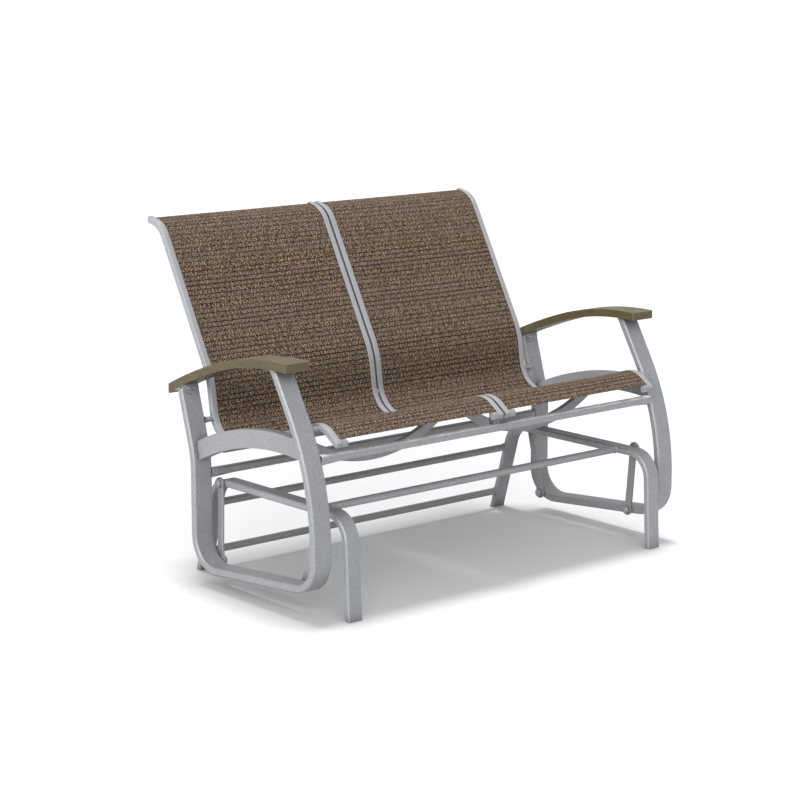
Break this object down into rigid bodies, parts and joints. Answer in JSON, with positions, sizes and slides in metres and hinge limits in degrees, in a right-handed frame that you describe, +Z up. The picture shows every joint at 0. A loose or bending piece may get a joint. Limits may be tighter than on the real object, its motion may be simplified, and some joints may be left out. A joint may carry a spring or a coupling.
{
  "type": "glider bench",
  "caption": "Sling glider bench for a porch: a seat with arched arms hangs on short links from a tube base and glides forward and back.",
  "frame": {"origin": "on the floor, at the middle of the bench's length and depth", "axes": "+X along the bench to the sitter's left, +Y to the rear, +Z up"},
  "size_m": [1.226, 0.7931, 0.8815],
  "materials": {
    "frame_metal": "silver-grey powder coat, satin",
    "pivot_metal": "coated steel, satin",
    "arm_pads": "olive-brown, fine grain, satin",
    "sling_cloth": "coarse woven sling cloth, brown with tan and dark flecks",
    "plastic_caps": "grey moulded plastic"
  },
  "bodies": {
    "base": {"base_arch_left": "frame_metal", "base_arch_right": "frame_metal", "base_bar_front": "frame_metal", "base_bar_rear_lower": "frame_metal", "base_bar_rear_upper": "frame_metal", "foot_glides": "plastic_caps", "top_pivot_pins": "pivot_metal"},
    "link_front_left": {"link_front_left": "pivot_metal"},
    "link_front_right": {"link_front_right": "pivot_metal"},
    "link_rear_left": {"link_rear_left": "pivot_metal"},
    "link_rear_right": {"link_rear_right": "pivot_metal"},
    "seat": {"arm_brace_left": "frame_metal", "arm_brace_right": "frame_metal", "arm_frame_left": "frame_metal", "arm_frame_right": "frame_metal", "arm_pad_left": "arm_pads", "arm_pad_right": "arm_pads", "back_spreader_left": "frame_metal", "back_spreader_right": "frame_metal", "low_pivot_pins": "pivot_metal", "middle_support": "frame_metal", "pad_bracket_left": "frame_metal", "pad_bracket_right": "frame_metal", "rail_caps_front": "plastic_caps", "rail_caps_top": "plastic_caps", "seat_bow_left": "frame_metal", "seat_bow_right": "frame_metal", "seat_rail_front": "frame_metal", "seat_rail_rear": "frame_metal", "seat_spreader_left": "frame_metal", "seat_spreader_right": "frame_metal", "sling_left": "sling_cloth", "sling_rail_inner_left": "frame_metal", "sling_rail_inner_right": "frame_metal", "sling_rail_outer_left": "frame_metal", "sling_rail_outer_right": "frame_metal", "sling_right": "sling_cloth", "standoffs": "frame_metal"}
  },
  "joints": [
    {"name": "glide", "type": "hinge", "parent": "base", "child": "link_rear_left", "pos_m": [-0.538, 0.1, 0.2462], "axis": [1, 0, 0], "range_deg": [-11, 11]},
    {"name": "rear_right_swing", "type": "hinge", "parent": "base", "child": "link_rear_right", "pos_m": [0.538, 0.1, 0.2462], "axis": [1, 0, 0], "range_deg": [-11.2, 11.2]},
    {"name": "front_left_swing", "type": "hinge", "parent": "base", "child": "link_front_left", "pos_m": [-0.538, -0.294, 0.2495], "axis": [1, 0, 0], "range_deg": [-12.16, 12.16]},
    {"name": "front_right_swing", "type": "hinge", "parent": "base", "child": "link_front_right", "pos_m": [0.538, -0.294, 0.2495], "axis": [1, 0, 0], "range_deg": [-12.16, 12.16]},
    {"name": "seat_level", "type": "hinge", "parent": "link_rear_left", "child": "seat", "pos_m": [-0.538, 0.076, 0.0567], "axis": [1, 0, 0], "range_deg": [-13.22, 13.22]}
  ],
  "couplings": [
    {"joint": "rear_right_swing", "follows": "glide", "ratio": 1},
    {"joint": "front_left_swing", "follows": "glide", "ratio": 1.087},
    {"joint": "front_right_swing", "follows": "glide", "ratio": 1.087},
    {"joint": "seat_level", "follows": "glide", "ratio": -1.184}
  ]
}
